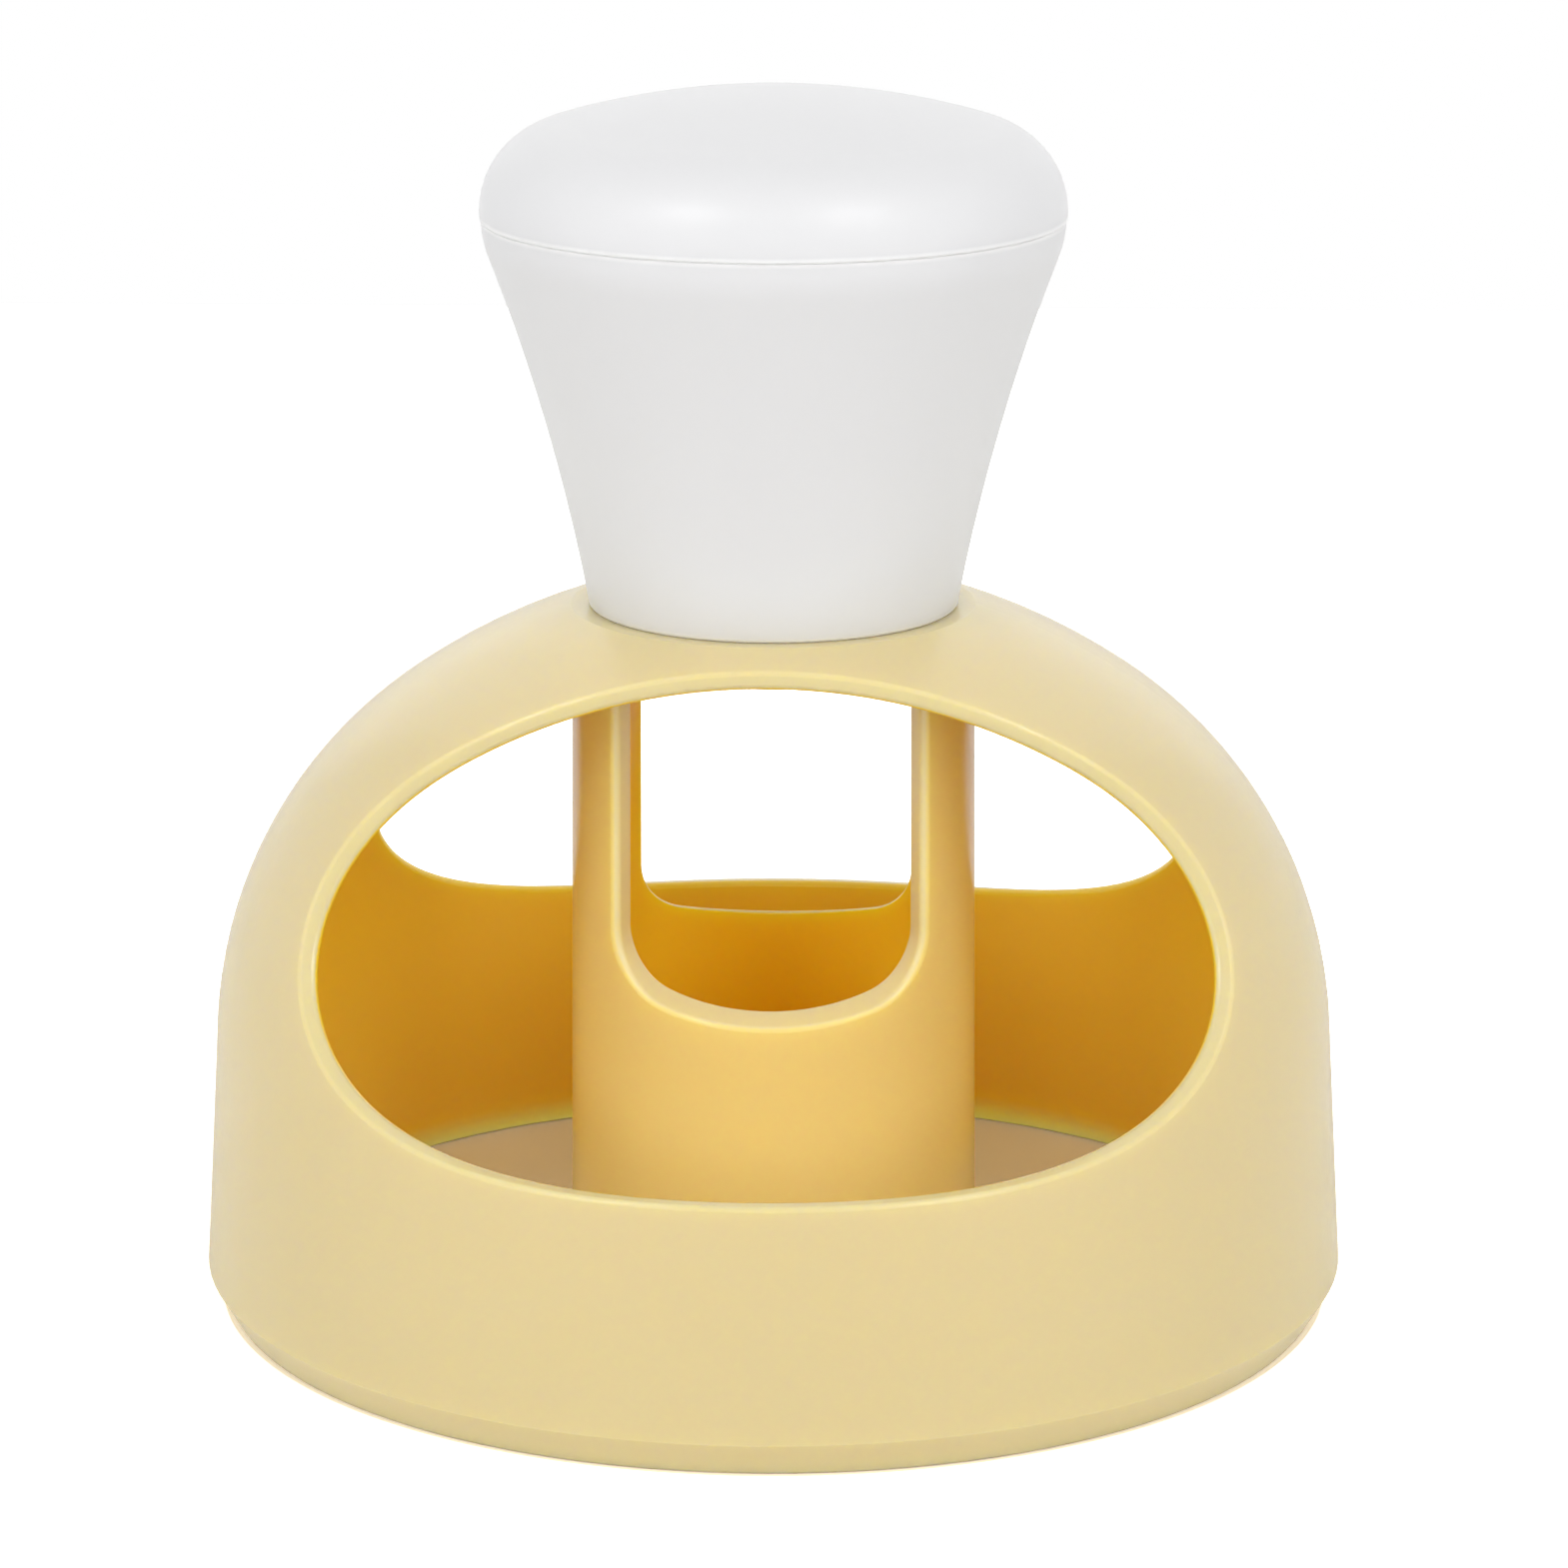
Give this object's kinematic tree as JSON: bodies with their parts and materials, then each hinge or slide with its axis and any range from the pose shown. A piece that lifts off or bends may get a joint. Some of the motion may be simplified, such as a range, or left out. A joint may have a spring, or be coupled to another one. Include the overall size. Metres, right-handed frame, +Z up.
{
  "type": "doughnut cutter",
  "caption": "Hand doughnut cutter: round cutting ring under an arched bridge, a windowed centre tube that cuts the hole, and a flared knob to press on.",
  "frame": {"origin": "centre of the cutting ring, at the level of the cutting edges", "axes": "+Z up along the ring's axis to the knob, X along the bridge, Y through the front and back openings"},
  "size_m": [0.08, 0.08, 0.0843],
  "materials": {
    "yellow_plastic": "glossy pale yellow moulded polypropylene",
    "white_plastic": "satin white moulded plastic",
    "steel": "zinc plated steel"
  },
  "bodies": {
    "root": {"cutter_body": "yellow_plastic", "centre_cutter": "yellow_plastic", "knob_body": "white_plastic", "knob_cap": "white_plastic", "knob_screw": "steel"}
  },
  "joints": []
}
